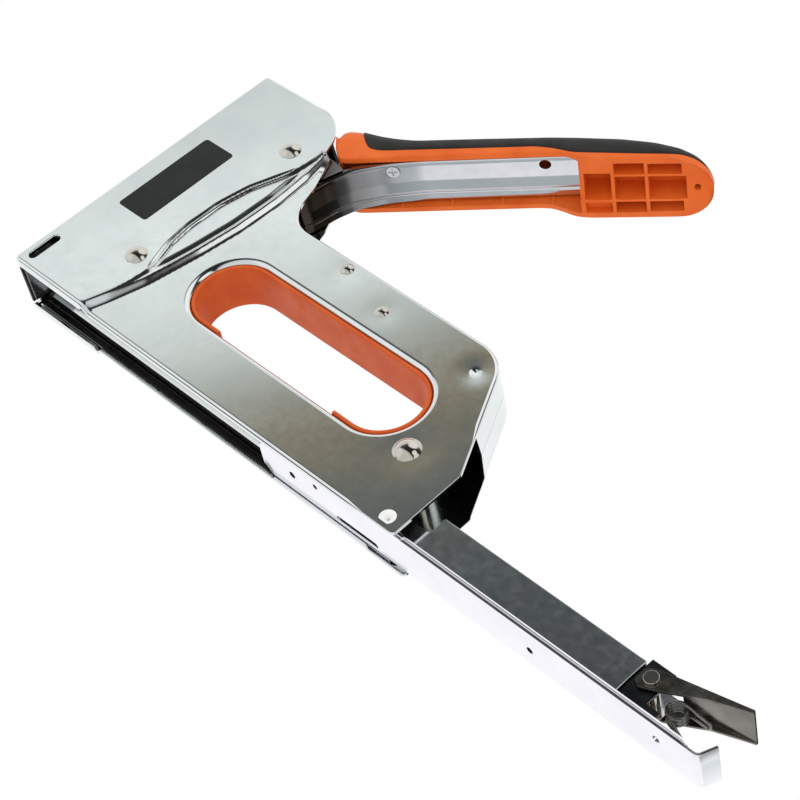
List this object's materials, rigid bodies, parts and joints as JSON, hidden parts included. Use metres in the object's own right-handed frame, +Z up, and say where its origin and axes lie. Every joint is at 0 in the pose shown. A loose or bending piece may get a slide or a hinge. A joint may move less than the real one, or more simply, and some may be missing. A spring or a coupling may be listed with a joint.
{
  "type": "staple gun",
  "caption": "Hand staple gun with stamped chrome shells, an orange finger-window liner, a squeeze lever with a soft-topped grip, and a latched magazine drawer pulled out at the back.",
  "frame": {"origin": "nose of the gun: front face, bottom edge, mid-plane", "axes": "+X from the nose to the back of the gun, +Z up through the head, +Y to the gun's right side"},
  "size_m": [0.282, 0.0266, 0.1643],
  "materials": {
    "shell_chrome": "bright nickel-chrome plate",
    "liner_plastic": "satin orange plastic",
    "dark_steel": "dark zinc-plated steel",
    "rivet_nickel": "nickel-plated rivets",
    "bumper_rubber": "black rubber",
    "tool_steel": "ground tool steel",
    "spring_steel": "oiled spring wire",
    "arm_chrome": "chrome-plated pressed steel",
    "grip_plastic": "satin orange plastic",
    "grip_rubber": "soft dark grey cover",
    "screw_zinc": "bright zinc-plated",
    "drawer_chrome": "bright plated steel",
    "housing_steel": "grey plated steel",
    "latch_steel": "gunmetal plated steel"
  },
  "bodies": {
    "frame": {"left_shell": "shell_chrome", "right_shell": "shell_chrome", "window_liner": "liner_plastic", "nose_plate": "dark_steel", "blade_guide": "dark_steel", "lever_pivot_rivet": "rivet_nickel", "head_rivet": "rivet_nickel", "handle_rivets": "rivet_nickel", "rear_rivet": "rivet_nickel", "magazine_track": "dark_steel", "spring_seat": "dark_steel", "rebound_bumper": "bumper_rubber", "power_spring": "spring_steel"},
    "lever": {"lever_arm": "arm_chrome", "lever_grip": "grip_plastic", "grip_cover": "grip_rubber", "lever_screw": "screw_zinc"},
    "striker": {"striker_carrier": "dark_steel", "driver_blade": "tool_steel"},
    "drawer": {"drawer_channel": "drawer_chrome", "drawer_housing": "housing_steel", "staple_rail": "drawer_chrome", "pusher_rod": "screw_zinc", "pusher_spring": "spring_steel", "latch_bracket": "drawer_chrome", "latch_pin": "rivet_nickel", "latch_spring": "spring_steel"},
    "pusher": {"staple_pusher": "dark_steel"},
    "latch": {"latch_lever": "latch_steel"}
  },
  "joints": [
    {"name": "lever_squeeze", "type": "hinge", "parent": "frame", "child": "lever", "pos_m": [0.0348, 0, 0.0856], "axis": [0, 1, 0], "range_deg": [0, 33], "stiffness_Nm_per_rad": 6, "springref_deg": -34.38},
    {"name": "striker_lift", "type": "slide", "parent": "frame", "child": "striker", "axis": [0, 0, 1], "range_m": [0, 0.013], "deforming": ["power_spring"]},
    {"name": "drawer_pull", "type": "slide", "parent": "frame", "child": "drawer", "axis": [1, 0, 0], "range_m": [-0.11, 0]},
    {"name": "pusher_travel", "type": "slide", "parent": "drawer", "child": "pusher", "axis": [1, 0, 0], "range_m": [0, 0.1], "stiffness_N_per_m": 60, "springref_m": -0.03, "deforming": ["pusher_spring"]},
    {"name": "latch_press", "type": "hinge", "parent": "drawer", "child": "latch", "pos_m": [0.256, 0, 0.0108], "axis": [0, 1, 0], "range_deg": [0, 12], "stiffness_Nm_per_rad": 0.1, "springref_deg": -17.19}
  ],
  "couplings": [
    {"joint": "striker_lift", "follows": "lever_squeeze", "m_per_rad": 0.0225}
  ]
}
